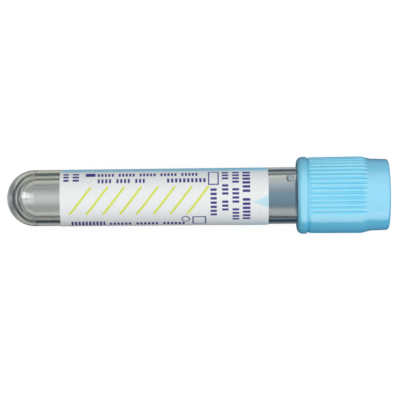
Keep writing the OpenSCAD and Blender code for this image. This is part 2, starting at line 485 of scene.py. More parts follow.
class Tree(Nodes):
    """A material under construction: a Principled shader and the nodes that feed it."""

    def __init__(self, name: str) -> None:
        """Starts a material with one Principled shader.

        Args:
            name: The material's name.
        """
        self.material = bpy.data.materials.new(name)
        super().__init__(self.material)
        out = self.nodes.new("ShaderNodeOutputMaterial")
        self.shader = self.nodes.new("ShaderNodeBsdfPrincipled")
        self.links.new(self.shader.outputs["BSDF"], out.inputs["Surface"])

    def set(self, **inputs: object) -> None:
        """Sets or feeds the Principled shader's inputs, with _ for each space in a name."""
        for name, value in inputs.items():
            self.put(self.shader.inputs[name.replace("_", " ")], value)

    def place(self) -> Socket:
        """The place on the piece in metres."""
        return self.add("TexCoord", out="Object")

    def mark(self, name: str) -> Socket:
        """A number written on the piece's vertices."""
        return self.add("Attribute", out="Fac", attribute_name=name)

    def grazing(self) -> Socket:
        """How far the surface is turned from the eye: 0 square to it, 1 edge on."""
        return self.add("LayerWeight", {"Blend": 0.5}, "Facing")

    def noise(self, scale: float, detail: float) -> Socket:
        """Noise from 0 to 1: how many cells to the metre, and how many finer layers."""
        inputs = {"Vector": self.place(), "Scale": scale, "Detail": detail}
        return self.add("TexNoise", inputs, "Fac")

    def bump(self, height: Socket, strength: float, distance: float) -> None:
        """Feeds the shader a bump: a height from 0 to 1, how much shows, and its metres."""
        inputs = {"Strength": strength, "Distance": distance, "Height": height}
        self.set(Normal=self.add("Bump", inputs, "Normal"))


@dataclass(frozen=True)
class ClearPlastic:
    """A clear moulded plastic with a slight tint and the faint waviness of its mould.

    The wall that is marked as rim is given painted shade: it is drawn darker where it is seen edge
    on, as the shade of a thin gap between two walls, and in a fainter painted ring where the
    cavity's edge shows behind it. How far it is turned from the eye runs from 0 to 1.
    """

    name: str
    tint: Colour
    deep: Colour
    ior: float
    roughness: float
    cloud: Point = (260.0, 3.0)
    wave: Point = (300.0, 1.0)
    wave_bump: Point = (0.12, 0.00002)
    # Painted shade: edge is the near black that the rim and the ring are drawn towards; the sizes
    # below set where it falls.
    edge: Colour = (0.002, 0.006, 0.018)
    rim: str = "rim"
    ring: str = "ring"
    rim_turned: Point = (0.48, 0.60)
    ring_rise: Point = (-0.01, 0.03)
    ring_fall: Point = (0.10, 0.16)
    ring_depth: Point = (0.88, 0.35)

    def make(self) -> Material:
        """Builds the material.

        Returns:
            The material.
        """
        tree = Tree(self.name)
        cloud = tree.noise(*self.cloud)
        # Painted shade: the marked rim, and the ring past the cavity's edge, darken the tint where
        # the wall is seen edge on.
        turned, rim = tree.grazing(), tree.mark(self.rim)
        past = tree.minus(turned, tree.mark(self.ring))
        ring = tree.times(
            tree.ramp(past, *self.ring_rise), tree.ramp(past, *self.ring_fall, *self.ring_depth)
        )
        painted_shade = tree.most(tree.ramp(tree.times(turned, rim), *self.rim_turned), ring)
        painted_shade = tree.times(painted_shade, rim, clamp=True)
        tree.set(
            Base_Color=tree.mix(painted_shade, tree.mix(cloud, self.deep, self.tint), self.edge),
            Roughness=self.roughness,
            IOR=self.ior,
            Transmission_Weight=1.0,
        )
        tree.bump(tree.noise(*self.wave), *self.wave_bump)
        return tree.material


@dataclass(frozen=True)
class Liquid:
    """The clear solution, with a trace of its own colour."""

    name: str = "citrate_solution"
    tint: Colour = (0.93, 0.97, 0.99)
    pale: Colour = (0.97, 0.985, 1.0)
    cloud: Point = (300.0, 2.0)
    ior: float = 1.334

    def make(self) -> Material:
        """Builds the material.

        Returns:
            The material.
        """
        tree = Tree(self.name)
        tree.set(
            Base_Color=tree.mix(tree.noise(*self.cloud), self.tint, self.pale),
            Roughness=0.0,
            IOR=self.ior,
            Transmission_Weight=1.0,
        )
        return tree.material


@dataclass(frozen=True)
class MouldedCap:
    """The shield's pale blue plastic: satin, a little translucent, with fine mould texture and
    painted shade in its grooves.
    """

    name: str = "shield_blue"
    light: Colour = (0.180, 0.650, 0.87)
    deep: Colour = (0.160, 0.625, 0.85)
    # Painted shade for the grooves: darker in red than the crowns, so the blue looks deeper there.
    painted_groove_shade: Colour = (0.080, 0.62, 0.87)
    cloud: Point = (180.0, 3.0)
    grain: Point = (5200.0, 2.0)
    grain_bump: Point = (0.12, 0.00002)
    roughness: Point = (0.16, 0.25)
    relief: str = "relief"

    def make(self) -> Material:
        """Builds the material.

        Returns:
            The material.
        """
        tree = Tree(self.name)
        grain = tree.noise(*self.grain)
        crown = tree.mix(tree.noise(*self.cloud), self.deep, self.light)
        tree.set(
            # Painted shade: grooves and the neck take a darker, more saturated blue by their marked
            # depth.
            Base_Color=tree.mix(tree.mark(self.relief), crown, self.painted_groove_shade),
            Roughness=tree.ramp(grain, *MIDDLE, *self.roughness),
            IOR=1.5,
            Specular_IOR_Level=1.0,
            Coat_Weight=1.0,
            Coat_IOR=2.1,
            Coat_Roughness=0.14,
            Subsurface_Weight=0.5,
            Subsurface_Radius=(0.25, 0.7, 1.0),
            Subsurface_Scale=0.0018,
        )
        tree.bump(grain, *self.grain_bump)
        return tree.material


@dataclass(frozen=True)
class Rubber:
    """The stopper's dull blue-grey rubber."""

    name: str = "stopper_rubber"
    light: Colour = (0.20, 0.31, 0.38)
    deep: Colour = (0.15, 0.25, 0.32)
    cloud: Point = (350.0, 4.0)
    grain: Point = (6000.0, 3.0)
    grain_bump: Point = (0.25, 0.00004)
    roughness: Point = (0.58, 0.74)

    def make(self) -> Material:
        """Builds the material.

        Returns:
            The material.
        """
        tree = Tree(self.name)
        grain = tree.noise(*self.grain)
        tree.set(
            Base_Color=tree.mix(tree.noise(*self.cloud), self.deep, self.light),
            Roughness=tree.ramp(grain, *MIDDLE, *self.roughness),
            IOR=1.52,
        )
        tree.bump(grain, *self.grain_bump)
        return tree.material


@dataclass(frozen=True)
class Row:
    """A printed row of small blocks in groups.

    The box is the first and last place along the sheet, then the first and last round it. Each
    pitch starts with a block that fills a share of it. Each word is that many pitches, and its
    last ones are left bare, as many as gap. A row runs along the sheet, or down round it.
    """

    box: Box
    pitch: float
    share: float = 0.62
    word: int = 10
    gap: int = 0
    down: bool = False


class Sheet(Tree):
    """A flat sheet's material under construction, with masks placed in millimetres on it.

    u runs along the sheet from the tube's round end, and s round it from straight up. A mask
    is 1 inside its shape and 0 outside. The sheet's own map counts in units, and round from a
    place below straight up, so that it is never negative.
    """

    unit: float = 100.0
    below: float = 20.0

    def __init__(self, name: str, uv_name: str) -> None:
        """Starts the material and finds the place on the sheet.

        Args:
            name: The material's name.
            uv_name: The name of the sheet's own map.
        """
        super().__init__(name)
        along, around, _ = self.split(self.add("UVMap", out="UV", uv_map=uv_name))
        self.u = self.times(along, self.unit)
        self.s = self.minus(self.times(around, self.unit), self.below)

    def past(self, point: Point) -> tuple[Socket, Socket]:
        """How far the place is past a point, along the sheet and round it."""
        return self.minus(self.u, point[0]), self.minus(self.s, point[1])

    def bar(self, box: Box, soft: float = 0.12) -> Socket:
        """The mask of a bar from its first to its last u and s, and how wide its edge is."""
        pairs = (self.u, box[0]), (box[1], self.u), (self.s, box[2]), (box[3], self.s)
        return self.inside(self.least(*(self.minus(a, b) for a, b in pairs)), soft)

    def row(self, row: Row, edge: float) -> Socket:
        """The mask of a row of blocks.

        Args:
            row: The row.
            edge: Width of a block's edge.

        Returns:
            The mask.
        """
        along = self.minus(self.s, row.box[2]) if row.down else self.minus(self.u, row.box[0])
        fine = self.math("FRACT", self.math("DIVIDE", along, row.pitch))
        soft = edge / row.pitch
        block = self.times(self.inside(self.minus(row.share, fine), soft), self.inside(fine, soft))
        group = self.math("FRACT", self.math("DIVIDE", along, row.pitch * row.word))
        whole = self.math("LESS_THAN", group, 1 - row.gap / row.word)
        return self.times(self.bar(row.box), self.times(block, whole))


@dataclass(frozen=True)
class Paper:
    """The label's paper and its plain printed fields, placed in millimetres on the sheet."""

    uv_name: str
    name: str = "label_paper"
    white: Colour = (0.79, 0.80, 0.80)
    shade: Colour = (0.75, 0.765, 0.765)
    ink: Colour = (0.045, 0.026, 0.22)
    stripe: Colour = (0.36, 0.70, 0.86)
    notch: Colour = (0.48, 0.72, 0.80)
    guide: Colour = (0.64, 0.70, 0.055)
    fibre: Point = (2400.0, 4.0)
    fibre_bump: Point = (0.15, 0.00003)
    roughness: Point = (0.42, 0.52)
    block_edge: float = 0.14
    stripe_edge: Point = (-7.15, -6.75)
    stripe_box: Box = (12.6, 58.7, -12.0, 0.0)
    notch_tip: Point = (55.4, 1.35)
    notch_slope: float = 1.42 / 3.5
    guides: int = 8
    guide_first: Point = (14.36, 3.94)
    guide_pitch: float = 3.77
    guide_run: Point = (4.70, -6.12)
    guide_half: float = 0.25
    rows: tuple[Row, ...] = (
        Row((20.7, 43.9, -6.15, -5.15), 0.78, word=6, gap=1),
        Row((20.7, 31.6, -4.40, -3.30), 0.84, 0.58, word=5, gap=1),
        Row((36.2, 45.0, -4.40, -3.30), 0.90, 0.60),
        Row((14.6, 22.2, 6.40, 8.60), 0.80),
        Row((23.2, 41.2, 6.90, 8.30), 0.86, 0.60, word=7, gap=1),
        Row((13.0, 14.2, -6.3, -3.55), 0.95, down=True),
        Row((15.1, 16.5, -6.3, -3.55), 0.95, down=True),
        Row((45.9, 47.3, -1.8, 4.7), 0.98, word=20, down=True),
        Row((48.5, 49.9, -6.4, 4.5), 0.92, word=4, gap=1, down=True),
        Row((50.8, 52.3, -6.4, 7.3), 0.92, word=5, gap=1, down=True),
        Row((53.1, 54.8, -6.4, 7.1), 0.98, 0.66, word=7, gap=1, down=True),
    )
    block: Box = (18.0, 20.2, -6.3, -5.2)
    frames: tuple[Box, ...] = ((45.4, 47.8, -6.5, -2.6), (41.8, 44.9, 4.9, 7.9))
    frame_line: float = 0.28
    circle: Point = (40.3, 5.75)
    circle_r: float = 0.85
    circle_half: float = 0.13

    def make(self) -> Material:
        """Builds the material.

        Returns:
            The material.
        """
        sheet = Sheet(self.name, self.uv_name)
        fibre = sheet.noise(*self.fibre)
        colour = sheet.mix(sheet.ramp(fibre, 0.35, 0.65), self.shade, self.white)
        for mask, print_colour in (
            (self.stripe_mask(sheet), self.stripe),
            (self.notch_mask(sheet), self.notch),
            (self.guide_mask(sheet), self.guide),
            (self.ink_mask(sheet), self.ink),
        ):
            colour = sheet.mix(mask, colour, print_colour)
        gloss = sheet.ramp(fibre, *MIDDLE, *self.roughness)
        sheet.set(Base_Color=colour, Roughness=gloss, IOR=1.5)
        sheet.bump(fibre, *self.fibre_bump)
        return sheet.material

    def stripe_mask(self, sheet: Sheet) -> Socket:
        """The coloured edge on the lit side."""
        across = sheet.ramp(sheet.s, *self.stripe_edge, 1.0, 0.0)
        return sheet.times(across, sheet.bar(self.stripe_box, 0.5))

    def notch_mask(self, sheet: Sheet) -> Socket:
        """The pale triangle that points to the fill level, from the sheet's closure end.

        Args:
            sheet: The material.

        Returns:
            1 in the triangle and 0 beside it.
        """
        du, ds = sheet.past(self.notch_tip)
        half = sheet.times(du, self.notch_slope)
        return sheet.inside(sheet.minus(half, sheet.math("ABSOLUTE", ds)), 0.3)

    def guide_mask(self, sheet: Sheet) -> Socket:
        """The slanting strokes with round ends.

        Args:
            sheet: The material.

        Returns:
            1 on a stroke and 0 beside it.
        """
        run, rise = self.guide_run
        du, ds = sheet.past(self.guide_first)
        step = sheet.math("DIVIDE", sheet.minus(du, sheet.times(ds, run / rise)), self.guide_pitch)
        index = sheet.least(sheet.most(sheet.math("ROUND", step), 0.0), self.guides - 1.0)
        du = sheet.minus(du, sheet.times(index, self.guide_pitch))
        dot = sheet.math("ADD", sheet.times(du, run), sheet.times(ds, rise))
        t = sheet.math("DIVIDE", dot, run * run + rise * rise, clamp=True)
        off = [sheet.minus(d, sheet.times(t, way)) for d, way in ((du, run), (ds, rise))]
        return sheet.inside(sheet.minus(self.guide_half, sheet.away(*off)), 0.14)

    def ink_mask(self, sheet: Sheet) -> Socket:
        """Plain bars, rows of blocks, frames and a circle in place of print.

        Args:
            sheet: The material.

        Returns:
            1 on ink and 0 beside it.
        """
        masks = [sheet.row(row, self.block_edge) for row in self.rows]
        masks.append(sheet.bar(self.block))
        for box in self.frames:
            inner = tuple(edge + self.frame_line * (1, -1)[k % 2] for k, edge in enumerate(box))
            masks.append(sheet.minus(sheet.bar(box), sheet.bar(inner)))
        away = sheet.away(*sheet.past(self.circle))
        off = sheet.math("ABSOLUTE", sheet.minus(away, self.circle_r))
        masks.append(sheet.inside(sheet.minus(self.circle_half, off), 0.12))
        return sheet.most(*masks)


# ---- The tube ----


class Body(Enum):
    """The bodies that pieces ride on."""

    TUBE = "tube"
    CLOSURE = "closure"


@dataclass(frozen=True)
class Part:
    """A finished piece, the body that carries it, the CAD node it stands for, and its slot."""

    piece: Piece
    body: Body
    node: str
    slot: str

    def fit(self) -> None:
        """Puts the piece on its body in place of its CAD node, and logs it."""
        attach(self.piece, self.body.value)
        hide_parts(self.node)
        faces = len(self.piece.data.polygons)
        log.info("%s: %d faces, rides on %s", self.piece.name, faces, self.body.value)


@dataclass
class Made:
    """What the sub-assemblies share: where the tube lies, and how a piece is dressed."""

    body: ClassVar[Body] = Body.TUBE
    node: ClassVar[str]
    slot: ClassVar[str]

    lay: Lay

    def dress(self, piece: Piece, material: Material, smooth: float = 38.0) -> Part:
        """Lays an upright piece down, smooths its faces and gives it its material.

        Args:
            piece: The piece, upright.
            material: Its material.
            smooth: Edges sharper than this many degrees stay sharp.

        Returns:
            The finished piece, untransformed, with its place in its mesh.
        """
        Bench.hold(piece)
        bpy.ops.object.shade_smooth_by_angle(angle=math.radians(smooth))
        piece.matrix_world = self.lay.matrix()
        bpy.ops.object.transform_apply()
        Bench.clear()
        piece.data.materials.clear()
        piece.data.materials.append(material)
        return Part(piece, self.body, self.node, self.slot)


@dataclass
class Turned(Made):
    """A sub-assembly that is one piece, turned from its outline."""

    name: ClassVar[str]
    finish: ClassVar[ClearPlastic | Rubber]
    columns: ClassVar[int] = 192

    def outline(self) -> list[Point]:
        """The outline that the piece is turned from."""
        raise NotImplementedError

    def marks(self) -> dict[str, Callable[[Vector], float]]:
        """What is written on the vertices for the finish: none as a rule."""
        return {}

    def build(self) -> list[Part]:
        """Turns the piece, marks it and dresses it.

        Returns:
            The finished piece, the only one of its list.
        """
        piece = Bench.turn(self.name, self.outline(), self.columns)
        for name, value in self.marks().items():
            Bench.mark(piece, name, value)
        return [self.dress(piece, self.finish.make())]


@dataclass
class OuterTube(Turned):
    """The outer tube: a round-ended barrel with a slight draft and a thinner mouth.

    The last sizes shape the painted shade on the rim of the bore: how much it gains at the pole,
    how much it loses at the shoulders of the round end, and where the parting line breaks it.
    """

    name, node, slot = "outer_tube_shell", "outer_tube", "clear_pet"
    finish = ClearPlastic("outer_tube_clear", (0.94, 0.955, 0.955), (0.91, 0.93, 0.935), 1.57, 0.02)

    length: float = 75.0
    end_r: float = 6.31
    mouth_r: float = 6.40
    end_wall: float = 0.78
    mouth_wall: float = 0.41
    floor: float = 1.0
    chamfer: float = 0.1
    seam_depth: float = 0.03
    seam_width: float = 0.20
    parting: float = 6.0
    pole_gain: float = 0.16
    shoulder_loss: float = 0.10
    slack: float = 0.1

    def __post_init__(self) -> None:
        """Works out the cones."""
        run = self.length - self.end_r
        self.out_slope = (self.mouth_r - self.end_r) / run
        self.bore_slope = self.out_slope + (self.end_wall - self.mouth_wall) / run
        self.bore_r0 = self.end_r - self.end_wall - self.bore_slope * self.end_r
        self.cap_r = (self.bore_r0 + self.bore_slope * self.floor) / (1 - self.bore_slope)

    def out_r(self, z: float) -> float:
        """Outside radius at a height."""
        return self.end_r + self.out_slope * (z - self.end_r)

    def bore_r(self, z: float) -> float:
        """Inside radius at a height."""
        return self.bore_r0 + self.bore_slope * z

    def rim_shade_weight(self, p: Vector) -> float:
        """How strongly a place is marked for the rim's painted shade.

        Args:
            p: A place on the outer tube.

        Returns:
            About 1 on the wall inside, and 0 outside and at the parting line.
        """
        centre = self.floor + self.cap_r
        if p.z < centre:
            inside = (p - Vector((0, 0, centre))).length < self.cap_r + self.slack
            down = (centre - p.z) / self.cap_r
            lean = self.shoulder_loss * math.sin(math.pi * min(down * 1.25, 1.0))
            gain = 1 + self.pole_gain * down**2 - lean
        else:
            inside = p.xy.length < self.bore_r(p.z) + self.slack
            gain = 1.0
        if abs(p.z - self.parting) < self.seam_width:
            gain = 0.0
        return gain if inside else 0.0

    def marks(self) -> dict[str, Callable[[Vector], float]]:
        """The bore's rim of painted shade, and the fainter painted ring where the inner tube's
        cavity shows behind it.
        """
        inner = InnerTube(self.lay, self)
        return {self.finish.rim: self.rim_shade_weight, self.finish.ring: inner.ring}

    def outline(self) -> list[Point]:
        """The outline from the pole outside, over the rim, to the pole inside.

        Returns:
            Radius and height of each point.
        """
        z_seam = self.end_r + 0.05
        rim = self.length - self.chamfer
        corners = [
            *arc((0, self.end_r), self.end_r, -90, -1.5, 44),
            Corner(self.out_r(z_seam), z_seam),
            Corner(self.out_r(z_seam) - self.seam_depth, z_seam + self.seam_width / 2),
            Corner(self.out_r(z_seam), z_seam + self.seam_width),
            *rows(self.out_r(8), 8, self.out_r(rim), rim, 12),
            Corner(self.mouth_r - self.chamfer, self.length),
            Corner(self.bore_r(rim) + self.chamfer, self.length),
            *rows(self.bore_r(rim), rim, self.bore_r(8), 8, 12),
            Corner(self.bore_r(7), 7),
            *arc((0, self.floor + self.cap_r), self.cap_r, 0, -90, 60),
        ]
        return soften(corners)


@dataclass
class InnerTube(Turned):
    """The inner tube, nested in the outer one with an air gap and flared at its mouth."""

    name, node, slot = "inner_tube_liner", "inner_tube", "clear_pp"
    finish = ClearPlastic("inner_tube_clear", (0.95, 0.955, 0.95), (0.92, 0.93, 0.925), 1.49, 0.03)

    outer: OuterTube
    gap: float = 0.38
    pole: float = 2.03
    end_wall: float = 1.26
    mouth_wall: float = 0.87
    floor: float = 0.97
    top: float = 72.2
    flare_z: float = 69.0
    straight_top: float = 67.5
    flare_out_r: float = 5.930
    flare_in_r: float = 5.380
    seam_depth: float = 0.05

    def __post_init__(self) -> None:
        """Works out the cones."""
        slope = self.outer.bore_slope
        self.cap_r = (self.outer.bore_r0 - self.gap + slope * self.pole) / (1 - slope)
        seam = self.pole + self.cap_r
        self.cavity_slope = slope + (self.end_wall - self.mouth_wall) / (self.straight_top - seam)
        self.cavity_r0 = self.cap_r - self.end_wall - self.cavity_slope * seam
        self.cavity_pole = self.pole + self.floor
        self.cavity_cap_r = (self.cavity_r0 + self.cavity_slope * self.cavity_pole) / (
            1 - self.cavity_slope
        )

    def out_r(self, z: float) -> float:
        """Outside radius at a height."""
        return self.outer.bore_r(z) - self.gap

    def cavity_r(self, z: float) -> float:
        """Inside radius at a height."""
        return self.cavity_r0 + self.cavity_slope * z

    def ring(self, p: Vector) -> float:
        """How far the outer bore is turned from an eye that sees the cavity's side behind it, where
        the painted ring shade begins.

        Args:
            p: A place on the outer tube.

        Returns:
            0 where the bore is square to the eye and 1 where it is edge on.
        """
        z = min(max(p.z, self.outer.end_r), self.straight_top)
        share = self.cavity_r(z) / self.outer.bore_r(z)
        return 1 - math.sqrt(1 - share**2)

    def outline(self) -> list[Point]:
        """The outline from the pole outside, over the rim, to the pole inside.

        Returns:
            Radius and height of each point.
        """
        top = self.straight_top
        centre = (0, self.pole + self.cap_r)
        corners = [
            *arc(centre, self.cap_r, -90, -15, 34),
            *arc(centre, self.cap_r - self.seam_depth, -13.5, -12.5, 1),
            *arc(centre, self.cap_r, -11, 0, 5),
            *rows(self.out_r(8), 8, self.out_r(top), top, 12)[:-1],
            Corner(self.out_r(top), top, 0.4),
            Corner(self.flare_out_r, self.flare_z, 0.4),
            Corner(self.flare_out_r, self.top, 0.12),
            Corner(self.flare_in_r, self.top, 0.12),
            Corner(self.flare_in_r, self.flare_z, 0.4),
            Corner(self.cavity_r(top), top, 0.4),
            *rows(self.cavity_r(top - 1), top - 1, self.cavity_r(8), 8, 12),
            *arc((0, self.cavity_pole + self.cavity_cap_r), self.cavity_cap_r, 0, -90, 40),
        ]
        return soften(corners)


@dataclass
class Solution(Made):
    """The pool along the low side of the inner tube, and a droplet on its wall."""

    node, slot = "citrate_solution", "solution"

    inner: InnerTube
    level: float = 4.37857
    gap: float = -0.01
    plug_tip: float = 69.2
    drop_d: float = 1.7
    drop_at: float = 63.8
    drop_turn: float = -52.0
    columns: int = 144

    def space(self, name: str) -> Piece:
        """The inside of the inner tube up to the plug, less the gap at the wall.

        Args:
            name: The new piece's name.

        Returns:
            The space as a closed piece, in edit mode.
        """
        inner, gap, top = self.inner, self.gap, self.inner.straight_top - 0.1
        radius = inner.cavity_cap_r - gap
        corners = [
            *arc((0, inner.cavity_pole + gap + radius), radius, -90, 0, 24),
            *rows(inner.cavity_r(8) - gap, 8, inner.cavity_r(top) - gap, top, 30),
            Corner(inner.cavity_r(top) - gap, self.plug_tip - gap),
            Corner(0, self.plug_tip - gap),
        ]
        return Bench.turn(name, soften(corners), self.columns)

    def pool(self) -> Piece:
        """The pool, cut level.

        Returns:
            The pool, upright.
        """
        piece = self.space("solution_pool")
        to_upright = self.lay.matrix().inverted()
        point = to_upright @ Vector((0, 0, self.level * MM))
        normal = to_upright.to_3x3() @ Vector((0, 0, 1))
        bpy.ops.mesh.select_all(action="SELECT")
        bpy.ops.mesh.bisect(
            plane_co=point, plane_no=normal, use_fill=True, clear_outer=True, threshold=1e-7
        )
        Bench.close()
        return piece

    def droplet(self) -> Piece:
        """The droplet: a ball on the wall, kept where it lies inside the tube.

        Returns:
            The droplet, upright.
        """
        tool = self.space("droplet_tool")
        Bench.clear()
        turn = math.radians(self.drop_turn)
        r = self.inner.cavity_r(self.drop_at) - self.gap
        place = Vector((r * math.cos(turn), r * math.sin(turn), self.drop_at)) * MM
        bpy.ops.mesh.primitive_uv_sphere_add(
            segments=48, ring_count=32, radius=self.drop_d / 2 * MM, location=place
        )
        piece = bpy.context.object
        bpy.ops.object.transform_apply()
        Bench.name(piece, "solution_droplet")
        Bench.apply_modifier(piece, "BOOLEAN", operation="INTERSECT", object=tool, solver="EXACT")
        bpy.data.objects.remove(tool)
        return piece

    def build(self) -> list[Part]:
        """Makes the pool and the droplet, of one material.

        Returns:
            Both finished pieces.
        """
        material = Liquid().make()
        pool = self.dress(self.pool(), material, smooth=30.0)
        return [pool, self.dress(self.droplet(), material, smooth=40.0)]


@dataclass
class Label(Made):
    """The paper label, wrapped round the upper side of the outer tube."""

    node, slot = "label", "label_paper"

    outer: OuterTube
    z_from: float = 12.2
    z_to: float = 58.9
    back: float = -80.0
    front: float = 98.0
    seat: float = 0.01
    thickness: float = 0.09
    corner: float = 1.5
    edge_from: float = 84.0
    edge_pitch: float = 2.2
    edge_steps: int = 6
    edge_swell: float = 1.0016
    curl_from: float = 80.0
    curl_z: float = 47.0
    curl_steps: int = 8
    curl_swell: float = 1.0018
    columns: int = 144
    courses: int = 60
    uv_name: str = "sheet"

    def build(self) -> list[Part]:
        """Makes the label.

        Returns:
            The finished piece, the only one of its list.
        """
        low, high = (self.outer.out_r(z) + self.seat for z in (self.z_from, self.z_to))
        outline = [(c.r, c.z) for c in rows(low, self.z_from, high, self.z_to, self.courses)]
        sweep = self.front - self.back
        piece = Bench.turn("label_sheet", outline, self.columns, start=self.back, sweep=sweep)
        self.round_corners(piece)
        self.lift_edge(piece)
        Bench.clear()
        self.map_sheet(piece)
        Bench.apply_modifier(piece, "SOLIDIFY", thickness=self.thickness * MM, offset=1.0)
        return [self.dress(piece, Paper(self.uv_name).make(), smooth=40.0)]

    def round_corners(self, piece: Piece) -> None:
        """Draws in the columns beside each long edge, so that the sheet's corners are round.

        Args:
            piece: The sheet in edit mode.
        """
        middle = (self.z_from + self.z_to) / 2
        length = self.z_to - self.z_from
        pitch = (self.front - self.back) / self.columns
        for i in range(self.columns):
            inset = math.radians(i * pitch) * self.outer.out_r(middle)
            if inset >= self.corner:
                break
            cut = self.corner - math.sqrt(self.corner**2 - (self.corner - inset) ** 2)
            edges = (self.back + i * pitch, self.front - i * pitch)
            Bench.select(piece, lambda p: min(abs(angle(p) - e) for e in edges) < pitch / 4)
            bpy.ops.transform.resize(
                value=(1.0, 1.0, (length - 2 * cut) / length),
                orient_type="GLOBAL",
                center_override=(0.0, 0.0, middle * MM),
            )

    def lift_edge(self, piece: Piece) -> None:
        """Lifts the lower edge a little off the tube, most at its closure end.

        Args:
            piece: The sheet in edit mode.
        """
        for i in range(self.edge_steps):
            if Bench.select(piece, lambda p: angle(p) > self.edge_from + self.edge_pitch * i):
                Bench.swell(self.edge_swell)
        for i in range(self.curl_steps):
            turn, z = self.curl_from + 2.0 * i, self.curl_z + 0.9 * i
            if Bench.select(piece, lambda p: angle(p) > turn and p.z > z):
                Bench.swell(self.curl_swell)

    def map_sheet(self, piece: Piece) -> None:
        """Gives the sheet its own map.

        Args:
            piece: The sheet, upright.
        """
        layer = piece.data.uv_layers.new(name=self.uv_name)
        radius = self.outer.out_r((self.z_from + self.z_to) / 2) + self.seat + self.thickness
        for loop in piece.data.loops:
            p = piece.data.vertices[loop.vertex_index].co / MM
            s = math.radians(angle(p)) * radius
            layer.data[loop.index].uv = (p.z / Sheet.unit, (s + Sheet.below) / Sheet.unit)


# ---- The closure ----


@dataclass
class Stopper(Turned):
    """The rubber stopper: plug, flange, neck, and a head with a dished target."""

    body = Body.CLOSURE
    name, node, slot = "stopper_plug", "stopper", "stopper_rubber"
    finish = Rubber()
    columns = 160

    plug_tip: float = 69.2
    recess_z: float = 71.4
    recess_r: float = 1.8
    tip_in_r: float = 3.0
    tip_out_r: float = 4.75
    tip_slope: float = 0.6
    plug_r: float = 5.35
    plug_top: float = 72.23
    seat_r: float = 5.941
    mouth_z: float = 75.0
    flange_r: float = 6.75
    flange_top: float = 76.8
    neck_r: float = 4.72
    neck_top: float = 78.3
    head_r: float = 5.9
    head_top: float = 83.18
    target_r: float = 2.9
    target_depth: float = 1.2

    def outline(self) -> list[Point]:
        """The outline from the plug's recess, round the outside, to the target.

        Returns:
            Radius and height of each point.
        """
        r, top, deep = self.target_r, self.head_top, self.target_depth
        dish = [math.radians(a) for a in range(15, 91, 5)]
        corners = [
            Corner(0, self.recess_z),
            Corner(self.recess_r, self.recess_z, 0.5),
            Corner(self.tip_in_r, self.plug_tip, 0.3),
            Corner(self.tip_out_r, self.plug_tip, 0.2),
            Corner(self.plug_r, self.plug_tip + self.tip_slope, 0.25),
            Corner(self.plug_r, self.plug_top - 0.03),
            Corner(self.seat_r, self.plug_top, 0.05),
            Corner(self.seat_r, self.mouth_z),
            Corner(self.flange_r, self.mouth_z, 0.15),
            Corner(self.flange_r, self.flange_top, 0.3),
            Corner(self.neck_r, self.flange_top),
            Corner(self.neck_r, self.neck_top),
            Corner(self.head_r, self.neck_top, 0.15),
            Corner(self.head_r, top, 0.35),
            Corner(r, top, 0.2),
            *(Corner(r * math.cos(a), top - deep * math.sin(a)) for a in dish),
        ]
        return soften(corners)


